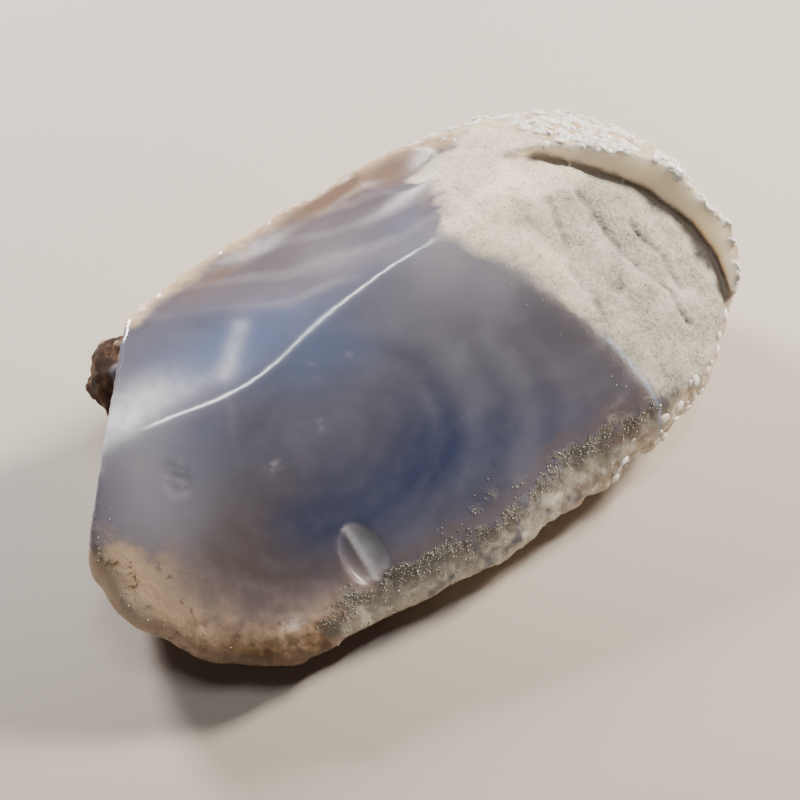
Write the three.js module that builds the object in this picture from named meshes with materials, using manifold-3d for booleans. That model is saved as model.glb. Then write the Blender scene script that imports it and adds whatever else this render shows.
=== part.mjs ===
// Raw chalcedony: a nodule broken open along several faces, with its rough rind still on one end.
// Millimetres, +Z up, resting on a small flat spot at z = 0. +X is the long axis.
import * as THREE from 'three';
import { mergeVertices } from 'three/addons/utils/BufferGeometryUtils.js';
import Module from 'manifold-3d';

const wasm = await Module();
wasm.setup();

// The whole nodule before it broke: a blunt ellipsoid with soft lumps.
const NODULE = {
  centre: new THREE.Vector3(-0.9, 0, 11.6),
  semi: new THREE.Vector3(30.5, 16.5, 11.95),
  bluntness: 2.95,
  detail: 13,
};

// Broad swellings of the nodule: centre, reach and height.
const SWELLS = [
  { at: new THREE.Vector3(-3.0, -16.0, 7.0), reach: 7, height: 0.9 },
  { at: new THREE.Vector3(2.0, 15.5, 8.0), reach: 8, height: 0.7 },
  { at: new THREE.Vector3(-14.0, 4.0, 0.5), reach: 7, height: -0.5 },
  { at: new THREE.Vector3(-23.5, -11.0, 4.5), reach: 6.5, height: 1.0 },
];

// Bumps of the nodule's skin, broad to fine: height and the distance from one bump to the next.
// The fine cobbles are strongest on the +X end, which kept its rind.
const BUMPS = {
  broad: { height: 0.42, spacing: 12.5 },
  knobby: { height: 0.28, spacing: 6.8 },
  cobbles: { height: 0.17, spacing: 3.9, from: 10, full: 20 },
};

// Broken faces. Each is a gently bowed sheet through a point, facing a heading (degrees from +X towards +Y)
// and leaning a tilt from straight up. `along` is the heading of its own u axis. A bow is a radius across the
// sheet, positive where it is domed. Dents and swells of a sheet are { u, v, wideU, wideV, height }, and
// `cell` is the size of the flats that the sheet is built from.
const CORNER = new THREE.Vector3(4.6, 3.14, 22.0);
const FACES = {
  glassy: {
    at: CORNER,
    heading: 252.6,
    tilt: 34.5,
    along: 0,
    cell: 4,
    waves: [],
  },
  chalky: {
    at: new THREE.Vector3(9.6, -5.6, 17.5),
    heading: 277,
    tilt: 28,
    along: -64,
    bowU: 150,
    bowV: 75,
    cell: 1.6,
    waves: [
      { u: -1.5, v: 4.5, wideU: 6, wideV: 1.4, height: -0.35 },
      { u: 1.5, v: 8.5, wideU: 7, wideV: 1.3, height: -0.3 },
      { u: -9, v: 5, wideU: 4, wideV: 4, height: 0.2 },
    ],
  },
  hollow: {
    at: CORNER,
    heading: 206,
    tilt: 10.8,
    along: 0,
    cell: 2,
    waves: [
      { u: -19.5, v: 4, wideU: 6.5, wideV: 9, height: -1.0 },
      { u: -5, v: 0, wideU: 3, wideV: 4, height: 0.15 },
    ],
  },
  scallop: {
    at: new THREE.Vector3(-8.0, 8.7, 20.26),
    heading: 110.7,
    tilt: 11.9,
    along: -25.3,
    cell: 2,
    waves: [{ u: 0, v: 0, wideU: 9, wideV: 7, height: -1.25 }],
  },
  end: {
    at: new THREE.Vector3(-25.9, 5.3, 17.0),
    heading: 139,
    tilt: 82,
    along: 49,
    bowU: -250,
    cell: 4,
    waves: [],
  },
  ledge: {
    at: new THREE.Vector3(-5.0, -14.2, 8.5),
    heading: 262.5,
    tilt: 73,
    along: -5,
    bowU: 70,
    cell: 1.7,
    waves: [
      { u: 24, v: 0, wideU: 9, wideV: 40, height: 3 },
      { u: -24, v: 0, wideU: 9, wideV: 40, height: 3 },
      { u: -9, v: 1, wideU: 2.2, wideV: 5, height: -0.4 },
      { u: 2, v: 0, wideU: 2.6, wideV: 5, height: 0.3 },
      { u: 9, v: 2, wideU: 2.0, wideV: 5, height: -0.4 },
    ],
  },
};

// Rind that still stands proud at the +X end: its inner edge in plan is a parabola whose nose is furthest
// along +X at midY, and its inner wall leans back by `lean` millimetres for each millimetre above `level`.
const RIND = { nose: 27.7, bend: 0.078, midY: -7.9, lean: 0.35, level: 17 };

// Open seam at the foot of the rind.
const SEAM = { radius: 0.45, fromY: 5.0, toY: -12.5, stops: 10 };

// Spoon-shaped flake beside the corner, and the crescent nick low on the glassy face.
const FLAKE = { at: new THREE.Vector3(8.1, 10.1, 21.3), heading: 115, tilt: 35, radius: 6, depth: 0.9 };
const NICK = { at: new THREE.Vector3(-13.6, -10.9, 9.1), semi: new THREE.Vector3(1.9, 2.6, 0.7), roll: -18 };

// Knobs of matrix and skin grown into the outside: centre and half sizes.
const KNOBS = [
  { at: new THREE.Vector3(-19.2, 15.0, 9.6), semi: new THREE.Vector3(3.4, 3.2, 3.6) },
  { at: new THREE.Vector3(-14.6, 14.4, 6.6), semi: new THREE.Vector3(3.6, 2.4, 2.4) },
  { at: new THREE.Vector3(-20.0, -11.4, 4.9), semi: new THREE.Vector3(3.2, 2.3, 1.9) },
  { at: new THREE.Vector3(8.2, -13.3, 4.4), semi: new THREE.Vector3(2.4, 2.0, 1.6) },
  { at: new THREE.Vector3(12.8, -13.2, 5.8), semi: new THREE.Vector3(2.4, 2.2, 1.7) },
  { at: new THREE.Vector3(17.2, -12.3, 7.2), semi: new THREE.Vector3(2.8, 2.3, 2.1) },
  { at: new THREE.Vector3(23.6, 8.2, 8.0), semi: new THREE.Vector3(3.6, 4.0, 3.6) },
];

// Small pits in the brown skin: the direction from the nodule's centre in which each lies, and its radius.
const PITS = [
  { towards: new THREE.Vector3(-26, -9, -4), radius: 1.0 },
  { towards: new THREE.Vector3(-23, -12, -5.5), radius: 0.8 },
  { towards: new THREE.Vector3(-12, -16, -7.5), radius: 0.9 },
  { towards: new THREE.Vector3(22, -14, -4), radius: 1.0 },
  { towards: new THREE.Vector3(7, 16, -2), radius: 1.1 },
  { towards: new THREE.Vector3(27, 3, -6), radius: 0.9 },
];

const FLAT_SPOT = 0;
const BLOCK = { width: 84, depth: 64, height: 44 };

/** Unit vector that leans `tilt` degrees from straight up towards `heading` degrees. */
function facing(heading, tilt) {
  const h = THREE.MathUtils.degToRad(heading);
  const t = THREE.MathUtils.degToRad(tilt);
  return new THREE.Vector3(Math.cos(h) * Math.sin(t), Math.sin(h) * Math.sin(t), Math.cos(t));
}

/** The matrix whose columns are a face's u, v and outward axes, placed at its point. */
function faceMatrix(face) {
  const normal = facing(face.heading, face.tilt);
  const along = facing(face.along, 90);
  const u = along.addScaledVector(normal, -along.dot(normal)).normalize();
  const v = new THREE.Vector3().crossVectors(normal, u);
  return new THREE.Matrix4().makeBasis(u, v, normal).setPosition(face.at);
}

/** Height of a face's sheet above its flat plane at (u, v). */
function sheetHeight(face, u, v) {
  let height = 0;
  if (face.bowU) height -= (u * u) / (2 * face.bowU);
  if (face.bowV) height -= (v * v) / (2 * face.bowV);
  for (const wave of face.waves) {
    const a = (u - wave.u) / wave.wideU;
    const b = (v - wave.v) / wave.wideV;
    height += wave.height * Math.exp(-a * a - b * b);
  }
  return height;
}

/** A field of rounded bumps between -1 and 1 that repeats about every `spacing` millimetres and never lines up. */
function bumpField(p, spacing, turn) {
  const k = (2 * Math.PI) / spacing;
  const a = Math.sin(k * (p.x + 0.35 * p.z) + turn) * Math.sin(k * (p.y - 0.28 * p.x) + 2 * turn);
  const b = Math.sin(k * (0.8 * p.z + 0.4 * p.y) + 3 * turn) * Math.cos(k * (0.55 * p.x - 0.3 * p.y) - turn);
  return 0.6 * a + 0.4 * b;
}

/** How far the nodule's skin stands out from the smooth blunt ellipsoid at a point, in millimetres. */
function skinHeight(p) {
  const { broad, knobby, cobbles } = BUMPS;
  const kept = 0.3 + 0.7 * THREE.MathUtils.smoothstep(p.x, cobbles.from, cobbles.full);
  let height = broad.height * bumpField(p, broad.spacing, 0.7);
  height += knobby.height * bumpField(p, knobby.spacing, 1.9);
  height += cobbles.height * kept * bumpField(p, cobbles.spacing, 0.4);
  for (const swell of SWELLS) {
    height += swell.height * Math.exp(-p.distanceToSquared(swell.at) / swell.reach ** 2);
  }
  return height;
}

/** The point of the nodule's skin that lies in a direction from its centre. */
function skinPoint(direction) {
  const ray = direction.clone().normalize();
  const n = NODULE.bluntness;
  const sum = ['x', 'y', 'z'].reduce((total, k) => total + Math.abs(ray[k] / NODULE.semi[k]) ** n, 0);
  const reach = sum ** (-1 / n);
  const smooth = ray.clone().multiplyScalar(reach).add(NODULE.centre);
  return smooth.addScaledVector(ray, skinHeight(smooth));
}

/** The unbroken nodule, each corner of a fine icosahedron pushed out to the skin. */
function noduleGeometry() {
  const geometry = new THREE.IcosahedronGeometry(1, NODULE.detail);
  const position = geometry.attributes.position;
  const ray = new THREE.Vector3();
  for (let i = 0; i < position.count; i += 1) {
    const point = skinPoint(ray.fromBufferAttribute(position, i).multiply(NODULE.semi));
    position.setXYZ(i, point.x, point.y, point.z);
  }
  return geometry;
}

/** A block that stands on a face's sheet and takes away all that is outside it. */
function faceBlock(face) {
  const across = Math.round(BLOCK.width / face.cell);
  const deep = Math.round(BLOCK.depth / face.cell);
  const geometry = new THREE.BoxGeometry(BLOCK.width, BLOCK.depth, BLOCK.height, across, deep, 1);
  geometry.translate(0, 0, BLOCK.height / 2);
  const position = geometry.attributes.position;
  for (let i = 0; i < position.count; i += 1) {
    if (position.getZ(i) < BLOCK.height / 2) {
      position.setZ(i, sheetHeight(face, position.getX(i), position.getY(i)));
    }
  }
  return geometry.applyMatrix4(faceMatrix(face));
}

/** Position along X of the rind's inner wall at a given y and height. */
function rindWall(y, z) {
  return RIND.nose - RIND.bend * (y - RIND.midY) ** 2 + RIND.lean * (z - RIND.level);
}

/** Everything on the broken side of the rind, as an upright block with one parabolic, leaning wall. */
function insideRind() {
  const [near, far, left, height] = [-30, 24, -75, 60];
  const shape = new THREE.Shape();
  const bendBetween = RIND.nose - RIND.bend * (near - RIND.midY) * (far - RIND.midY);
  shape.moveTo(rindWall(near, RIND.level), near);
  shape.quadraticCurveTo(bendBetween, (near + far) / 2, rindWall(far, RIND.level), far);
  shape.lineTo(left, far);
  shape.lineTo(left, near);
  const geometry = new THREE.ExtrudeGeometry(shape, { depth: height, bevelEnabled: false, curveSegments: 40 });
  geometry.translate(0, 0, -10);
  const position = geometry.attributes.position;
  for (let i = 0; i < position.count; i += 1) {
    position.setX(i, position.getX(i) + RIND.lean * (position.getZ(i) - RIND.level));
  }
  return geometry;
}

/** The seam's solid: a round cut along the line where the chalky face meets the rind's wall. */
function seamGeometry() {
  const face = FACES.chalky;
  const toFace = faceMatrix(face).invert();
  const lift = facing(face.heading, face.tilt).z;
  const stops = [];
  for (let i = 0; i <= SEAM.stops; i += 1) {
    const y = THREE.MathUtils.lerp(SEAM.fromY, SEAM.toY, i / SEAM.stops);
    const point = new THREE.Vector3(0, y, RIND.level);
    for (let turn = 0; turn < 12; turn += 1) {
      point.x = rindWall(y, point.z);
      const local = point.clone().applyMatrix4(toFace);
      point.z -= (local.z - sheetHeight(face, local.x, local.y)) * lift;
    }
    stops.push(point);
  }
  const path = new THREE.CatmullRomCurve3(stops);
  const round = new THREE.Shape().absarc(0, 0, SEAM.radius, 0, 2 * Math.PI);
  return new THREE.ExtrudeGeometry(round, { extrudePath: path, steps: 30, curveSegments: 5 });
}

/** A blunt, uneven knob. */
function knobGeometry(knob) {
  const geometry = new THREE.IcosahedronGeometry(1, 4);
  const position = geometry.attributes.position;
  const point = new THREE.Vector3();
  for (let i = 0; i < position.count; i += 1) {
    point.fromBufferAttribute(position, i).multiply(knob.semi);
    const place = point.clone().add(knob.at);
    point.multiplyScalar(1 + 0.1 * bumpField(place, 3.6, 1.1));
    position.setXYZ(i, point.x, point.y, point.z);
  }
  return geometry.translate(knob.at.x, knob.at.y, knob.at.z);
}

/** The ball that leaves the spoon-shaped flake. */
function flakeGeometry() {
  const centre = facing(FLAKE.heading, FLAKE.tilt).multiplyScalar(FLAKE.radius - FLAKE.depth).add(FLAKE.at);
  return new THREE.IcosahedronGeometry(FLAKE.radius, 7).translate(centre.x, centre.y, centre.z);
}

/** The flattened ball that leaves the crescent nick, rolled so that one edge is a sharp step. */
function nickGeometry() {
  const ball = new THREE.IcosahedronGeometry(1, 5).scale(NICK.semi.x, NICK.semi.y, NICK.semi.z);
  ball.rotateY(THREE.MathUtils.degToRad(NICK.roll));
  return ball.applyMatrix4(faceMatrix({ ...FACES.glassy, at: NICK.at }));
}

/** Closed solid of a geometry. */
function toSolid(geometry) {
  const bare = geometry.clone();
  bare.deleteAttribute('normal');
  bare.deleteAttribute('uv');
  const merged = mergeVertices(bare, 1e-4);
  return new wasm.Manifold(new wasm.Mesh({
    numProp: 3,
    vertProperties: new Float32Array(merged.attributes.position.array),
    triVerts: new Uint32Array(merged.index.array),
  }));
}

/** Indexed geometry of a solid's surface. */
function toGeometry(solid) {
  const { vertProperties, triVerts } = solid.getMesh();
  const geometry = new THREE.BufferGeometry();
  geometry.setAttribute('position', new THREE.BufferAttribute(new Float32Array(vertProperties), 3));
  geometry.setIndex(new THREE.BufferAttribute(new Uint32Array(triVerts), 1));
  return geometry;
}

/** The stone: nodule and knobs, less the broken faces, seam, flake, nick and pits, on its flat spot. */
function stoneSolid() {
  let stone = toSolid(noduleGeometry());
  const broken = toSolid(faceBlock(FACES.glassy)).add(toSolid(faceBlock(FACES.chalky)));
  stone = stone.subtract(broken.intersect(toSolid(insideRind())));
  for (const face of [FACES.hollow, FACES.scallop, FACES.end, FACES.ledge]) {
    stone = stone.subtract(toSolid(faceBlock(face)));
  }
  for (const knob of KNOBS) {
    stone = stone.add(toSolid(knobGeometry(knob)));
  }
  for (const cut of [seamGeometry(), flakeGeometry(), nickGeometry()]) {
    stone = stone.subtract(toSolid(cut));
  }
  for (const pit of PITS) {
    const place = skinPoint(pit.towards);
    const ball = new THREE.IcosahedronGeometry(pit.radius, 2).translate(place.x, place.y, place.z);
    stone = stone.subtract(toSolid(ball));
  }
  const ground = new THREE.BoxGeometry(120, 120, 20).translate(0, 0, FLAT_SPOT - 10);
  return stone.subtract(toSolid(ground));
}

const geometry = toGeometry(stoneSolid());
geometry.computeBoundingBox();
const middle = geometry.boundingBox.getCenter(new THREE.Vector3());
geometry.translate(-middle.x, -middle.y, -geometry.boundingBox.min.z);
const flat = geometry.toNonIndexed();
flat.computeVertexNormals();

const chalcedony = new THREE.Mesh(
  flat,
  new THREE.MeshStandardMaterial({ color: new THREE.Color(0.36, 0.38, 0.46), roughness: 0.28, metalness: 0 }),
);
chalcedony.name = 'chalcedony';

const group = new THREE.Group();
group.add(chalcedony);
export default group;
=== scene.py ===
"""Raw chalcedony: a nodule broken open along glassy blue-grey faces, its rough rind still on one end."""

import logging
import math
from dataclasses import dataclass, field, replace
from enum import Enum

import bpy
import numpy as np
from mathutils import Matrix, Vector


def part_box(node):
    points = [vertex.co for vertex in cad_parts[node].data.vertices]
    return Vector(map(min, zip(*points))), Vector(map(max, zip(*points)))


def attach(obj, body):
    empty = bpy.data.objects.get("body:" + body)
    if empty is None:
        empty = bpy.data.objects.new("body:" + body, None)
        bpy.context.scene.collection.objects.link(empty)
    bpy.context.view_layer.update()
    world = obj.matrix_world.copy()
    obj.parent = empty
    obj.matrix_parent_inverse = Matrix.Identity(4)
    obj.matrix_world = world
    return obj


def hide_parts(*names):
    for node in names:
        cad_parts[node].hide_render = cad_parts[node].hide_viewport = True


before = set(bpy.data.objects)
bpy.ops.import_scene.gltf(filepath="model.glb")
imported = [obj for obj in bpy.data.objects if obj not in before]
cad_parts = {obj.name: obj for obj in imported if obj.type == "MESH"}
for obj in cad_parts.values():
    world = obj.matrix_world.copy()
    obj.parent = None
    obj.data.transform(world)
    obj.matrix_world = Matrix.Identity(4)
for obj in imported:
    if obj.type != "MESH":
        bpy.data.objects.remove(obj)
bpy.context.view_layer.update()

import openvdb

LOG = logging.getLogger("chalcedony")
Points = np.ndarray
Values = np.ndarray
Place = tuple[float, float, float]
Line = tuple[Place, ...]
Spot = tuple[Place, Place, float]
MM = 0.001
FAR_OUTSIDE = 10.0
NODE = "chalcedony"
BODY = "root"


# Small maths.


def unit(vector: Points) -> Points:
    """The vector scaled to length one."""
    return vector / np.linalg.norm(vector, axis=-1, keepdims=True)


def facing(heading: float, tilt: float) -> Points:
    """Direction that leans from straight up towards a heading.

    Args:
        heading: degrees from +X towards +Y.
        tilt: degrees from straight up.

    Returns:
        The unit vector.
    """
    turn, lean = math.radians(heading), math.radians(tilt)
    return np.array([math.cos(turn) * math.sin(lean), math.sin(turn) * math.sin(lean), math.cos(lean)])


def ease(x: Values, low: float, high: float) -> Values:
    """Smooth step of x from 0 at low to 1 at high."""
    t = np.clip((x - low) / (high - low), 0, 1)
    return t * t * (3 - 2 * t)


def join_outer(a: Values, b: Values, soft: Values | float) -> Values:
    """Larger of two signed distances, rounded over about `soft` where they cross."""
    return 0.5 * (a + b + np.sqrt((a - b) ** 2 + np.square(soft)))


def join_inner(a: Values, b: Values, soft: Values | float) -> Values:
    """Smaller of two signed distances, filleted over about `soft` where they cross."""
    return -join_outer(-a, -b, soft)


def from_line(p: Points, line: Line) -> Values:
    """Distance from a bent line given by its corners."""
    nearest = np.full(p.shape[:-1], 1e3)
    for start, stop in zip(line[:-1], line[1:]):
        a, b = np.array(start), np.array(stop)
        t = np.clip(((p - a) * (b - a)).sum(-1) / ((b - a) ** 2).sum(), 0, 1)
        nearest = np.minimum(nearest, np.linalg.norm(p - a - t[..., None] * (b - a), axis=-1))
    return nearest


def near_line(p: Points, line: Line, half_width: float) -> Values:
    """Bell-shaped closeness to a line, from 0 to 1."""
    return np.exp(-((from_line(p, line) / half_width) ** 2))


def hump(p: Points, centre: tuple[float, ...], reach: tuple[float, ...] | float) -> Values:
    """Soft blob of height one around a centre, with its reach along each axis."""
    return np.exp(-(((p - np.array(centre)) / np.array(reach)) ** 2).sum(-1))


@dataclass(frozen=True)
class Grain:
    """Seeded gradient noise with no direction, between about -1 and 1.

    Attributes:
        spacing: size of its largest grains in millimetres.
        seed: number that picks the pattern.
        octaves: how many times the grain is repeated at half the size and half the height.
    """

    spacing: float
    seed: int
    octaves: int = 1

    def corners(self, cell: Points, seed: int) -> Points:
        """A repeatable random vector for every lattice cell."""
        c = cell.astype(np.int64).astype(np.uint32)
        h = np.full(c.shape[:-1], (seed * 2654435761) % 4294967296, np.uint32)
        for axis, prime in enumerate((73856093, 19349663, 83492791)):
            h = h ^ (c[..., axis] * np.uint32(prime))
        h = (h ^ (h >> np.uint32(13))) * np.uint32(1274126177)
        h = (h ^ (h >> np.uint32(16))) * np.uint32(2246822519)
        h = h ^ (h >> np.uint32(15))
        bits = [(h >> np.uint32(step)) & np.uint32(1023) for step in (0, 10, 20)]
        return np.stack(bits, -1) / 511.5 - 1.0

    def at(self, p: Points) -> Values:
        """The noise at every point."""
        total = np.zeros(p.shape[:-1])
        height, spacing = 1.0, self.spacing
        for octave in range(self.octaves):
            q = p / spacing
            base = np.floor(q)
            f = q - base
            w = f * f * f * (f * (f * 6 - 15) + 10)
            value = np.zeros(p.shape[:-1])
            for corner in np.ndindex(2, 2, 2):
                offset = np.array(corner, float)
                weight = np.prod(np.where(offset > 0, w, 1 - w), axis=-1)
                lean = self.corners(base + offset, self.seed + 17 * octave)
                value += weight * ((f - offset) * lean).sum(-1)
            total += height * value * 1.5
            height, spacing = height * 0.5, spacing * 0.5
        return total


@dataclass(frozen=True)
class Cells:
    """Seeded cell pattern for cobbles and crystal tops.

    Attributes:
        spacing: size of a cell in millimetres.
        seed: number that picks the pattern.
    """

    spacing: float
    seed: int

    def at(self, p: Points) -> tuple[Values, Values, Values]:
        """Looks up the cells at every point.

        Args:
            p: points in millimetres.

        Returns:
            Distance to the nearest cell centre and to the second nearest, both in cells, and the cell's
            own number.
        """
        q = p / self.spacing
        base = np.floor(q)
        near = np.full(p.shape[:-1], 9.0)
        second = np.full(p.shape[:-1], 9.0)
        own = np.zeros(p.shape[:-1])
        source = Grain(1.0, self.seed)
        for step in np.ndindex(3, 3, 3):
            cell = base + np.array(step, float) - 1
            r = source.corners(cell, self.seed)
            d = np.linalg.norm(cell + 0.5 + 0.42 * r - q, axis=-1)
            closer = d < near
            second = np.where(closer, near, np.minimum(second, d))
            own = np.where(closer, r[..., 0], own)
            near = np.where(closer, d, near)
        return near, second, own


# The stone's shape, in millimetres.


@dataclass(frozen=True)
class Dent:
    """A soft dent or swell of a broken face: its place on the sheet, its reach and its height."""

    u: float
    v: float
    wide_u: float
    wide_v: float
    height: float


@dataclass(frozen=True)
class BrokenFace:
    """A gently bowed break through a point.

    Attributes:
        at: point that it passes through.
        heading: degrees from +X towards +Y that it faces.
        tilt: degrees that it leans from straight up.
        along: heading of its own u axis.
        bow_u: radius of its bow along u, or None where it is straight.
        bow_v: radius of its bow along v, or None where it is straight.
        dents: dents and swells on the sheet.
    """

    at: Place
    heading: float
    tilt: float
    along: float = 0.0
    bow_u: float | None = None
    bow_v: float | None = None
    dents: tuple[Dent, ...] = ()

    def axes(self) -> tuple[Points, Points, Points]:
        """The sheet's u and v axes and its outward normal."""
        normal = facing(self.heading, self.tilt)
        along = facing(self.along, 90.0)
        u = unit(along - (along @ normal) * normal)
        return u, np.cross(normal, u), normal

    def local(self, p: Points) -> tuple[Values, Values, Values]:
        """Coordinates of the points along u, v and the normal."""
        u, v, normal = self.axes()
        q = p - np.array(self.at)
        return q @ u, q @ v, q @ normal

    def sheet(self, u: Values, v: Values) -> Values:
        """Height of the sheet above its flat plane."""
        height = np.zeros_like(u)
        if self.bow_u:
            height -= u * u / (2 * self.bow_u)
        if self.bow_v:
            height -= v * v / (2 * self.bow_v)
        for d in self.dents:
            height += d.height * np.exp(-(((u - d.u) / d.wide_u) ** 2) - ((v - d.v) / d.wide_v) ** 2)
        return height

    def outside(self, p: Points) -> Values:
        """Distance outwards from the sheet."""
        u, v, w = self.local(p)
        return w - self.sheet(u, v)


@dataclass(frozen=True)
class Knob:
    """A blunt knob grown into the skin: centre and half sizes."""

    at: Place
    semi: Place


def bumps(p: Points, spacing: float, turn: float) -> Values:
    """Rounded bumps between -1 and 1 that come about every `spacing` millimetres and never line up."""
    k = 2 * math.pi / spacing
    x, y, z = p[..., 0], p[..., 1], p[..., 2]
    a = np.sin(k * (x + 0.35 * z) + turn) * np.sin(k * (y - 0.28 * x) + 2 * turn)
    b = np.sin(k * (0.8 * z + 0.4 * y) + 3 * turn) * np.cos(k * (0.55 * x - 0.3 * y) - turn)
    return 0.6 * a + 0.4 * b


@dataclass(frozen=True)
class Nodule:
    """The whole nodule before it broke: a blunt ellipsoid with a bumpy skin.

    Attributes:
        centre: centre of the ellipsoid.
        semi: its half sizes.
        bluntness: its power; two gives a plain ellipsoid, more a blunter one.
        broad: height and spacing of the broadest bumps.
        knobby: the same for the middling bumps.
        cobbles: the same for the smallest, which fade where the rind ends.
        rind_from: x at which the rind's cobbles begin.
        rind_full: x at which they stand at full height.
        swells: place, reach and height of single swells and dents.
    """

    centre: Place = (-0.9, 0.0, 11.6)
    semi: Place = (30.5, 16.5, 11.95)
    bluntness: float = 2.95
    broad: tuple[float, float] = (0.42, 12.5)
    knobby: tuple[float, float] = (0.28, 6.8)
    cobbles: tuple[float, float] = (0.17, 3.9)
    rind_from: float = 10.0
    rind_full: float = 20.0
    swells: tuple[tuple[Place, float, float], ...] = (
        ((-3.0, -16.0, 7.0), 7.0, 0.9),
        ((2.0, 15.5, 8.0), 8.0, 0.7),
        ((-14.0, 4.0, 0.5), 7.0, -0.5),
        ((-23.5, -11.0, 4.5), 6.5, 1.0),
    )

    def skin_height(self, p: Points) -> Values:
        """How far the skin stands out from the smooth ellipsoid."""
        kept = 0.3 + 0.7 * ease(p[..., 0], self.rind_from, self.rind_full)
        height = self.broad[0] * bumps(p, self.broad[1], 0.7)
        height += self.knobby[0] * bumps(p, self.knobby[1], 1.9)
        height += self.cobbles[0] * kept * bumps(p, self.cobbles[1], 0.4)
        for centre, reach, swell in self.swells:
            height += swell * hump(p, centre, reach)
        return height

    def outside(self, p: Points) -> Values:
        """Distance outwards from the skin, measured along the ray from the centre."""
        q = p - np.array(self.centre)
        reach = np.linalg.norm(q, axis=-1)
        scaled = (np.abs(q / np.array(self.semi)) ** self.bluntness).sum(-1) ** (1 / self.bluntness)
        return reach * (1 - 1 / np.maximum(scaled, 1e-6)) - self.skin_height(p)


class Zone(Enum):
    """Every kind of surface that the stone shows."""

    SKIN = 0
    GLASSY = 1
    CHALKY = 2
    WALL = 3
    HOLLOW = 4
    SCALLOP = 5
    END = 6
    LEDGE = 7
    FLAKE = 8
    NICK = 9
    SEAM = 10
    BASE = 11


# The highest corner, where the glassy face, the chalk and the hollow meet.
CORNER = (4.6, 3.14, 22.0)


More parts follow.
